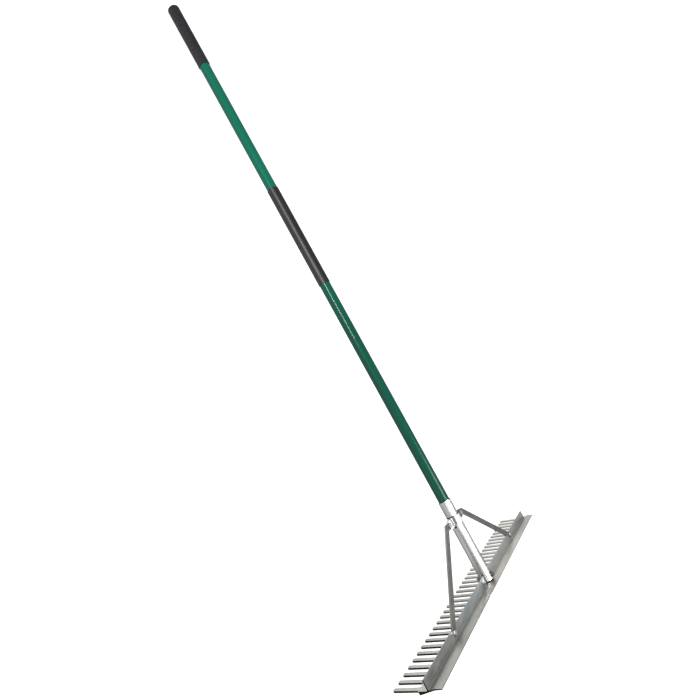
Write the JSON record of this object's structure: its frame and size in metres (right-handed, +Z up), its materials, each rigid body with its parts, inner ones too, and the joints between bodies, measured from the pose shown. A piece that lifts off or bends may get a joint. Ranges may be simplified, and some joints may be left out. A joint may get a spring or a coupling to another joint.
{
  "type": "landscape rake",
  "caption": "Landscape rake: a wide toothed aluminium head with a grading blade, braced to a socket tube on a long green fibreglass handle with black grips.",
  "frame": {"origin": "on the floor under the middle of the rake's length and width, with the rake lying on its tooth tips and the end of its grip", "axes": "+X along the head, +Y along the handle towards the grip, +Z up, with the teeth pointing down"},
  "size_m": [0.906, 1.7296, 0.0991],
  "materials": {
    "head_aluminium": "extruded and punched, mill finish",
    "tube_aluminium": "drawn tube, bright",
    "green_fibreglass": "pultruded, smooth and glossy",
    "core_wood": "plain turned",
    "grip_vinyl": "moulded, semi-matt",
    "brace_aluminium": "flattened tube, dull",
    "clamp_steel": "bent strip, zinc plated",
    "zinc_hardware": "zinc plated"
  },
  "bodies": {
    "root": {"rake_head": "head_aluminium", "socket_tube": "tube_aluminium", "handle": "green_fibreglass", "handle_plug": "core_wood", "handle_rivet": "tube_aluminium", "mid_grip": "grip_vinyl", "end_grip": "grip_vinyl", "brace_left": "brace_aluminium", "brace_right": "brace_aluminium", "clamp_front": "clamp_steel", "clamp_back": "clamp_steel", "clamp_bolts": "zinc_hardware", "clamp_washers": "zinc_hardware", "clamp_nuts": "zinc_hardware", "brace_bolts": "zinc_hardware", "brace_washers": "zinc_hardware", "brace_nuts": "zinc_hardware", "socket_bolt": "zinc_hardware", "socket_saddles": "zinc_hardware", "socket_nut": "zinc_hardware"}
  },
  "joints": []
}
